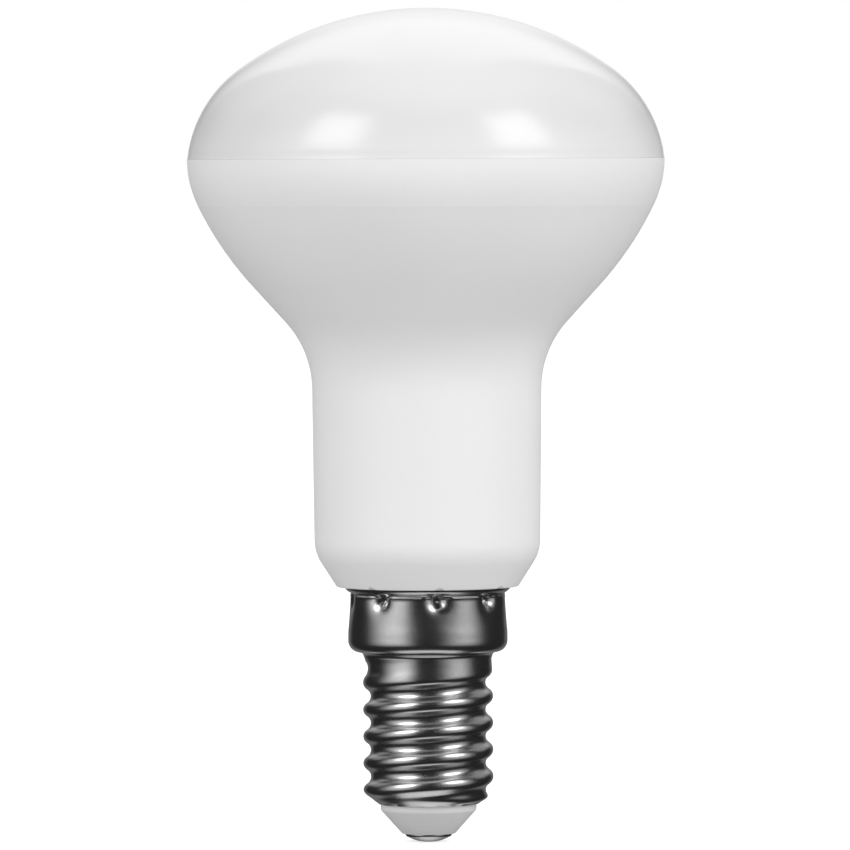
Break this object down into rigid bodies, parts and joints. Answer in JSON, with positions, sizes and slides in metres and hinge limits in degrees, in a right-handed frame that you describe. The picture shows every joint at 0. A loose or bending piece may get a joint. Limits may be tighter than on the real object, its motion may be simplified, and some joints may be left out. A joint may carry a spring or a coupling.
{
  "type": "reflector bulb",
  "caption": "Reflector bulb with an opal dome, a satin white flared body and a small nickel-plated screw cap with a centre contact.",
  "frame": {"origin": "tip of the centre contact, on the bulb's axis", "axes": "+Z along the bulb's axis, from the contact up to the top of the dome; -Y is the side that the picture shows; a crest of the screw thread lies 6.86 mm above the tip on the +X side"},
  "size_m": [0.0502, 0.0502, 0.0876],
  "materials": {
    "contact_nickel": "bright nickel plate, turned",
    "insulator_plastic": "matte pale grey",
    "shell_nickel": "bright nickel plate on drawn sheet",
    "white_plastic": "satin white",
    "opal_plastic": "glossy opal white"
  },
  "bodies": {
    "root": {"centre_contact": "contact_nickel", "insulator": "insulator_plastic", "screw_shell": "shell_nickel", "housing": "white_plastic", "diffuser": "opal_plastic"}
  },
  "joints": []
}
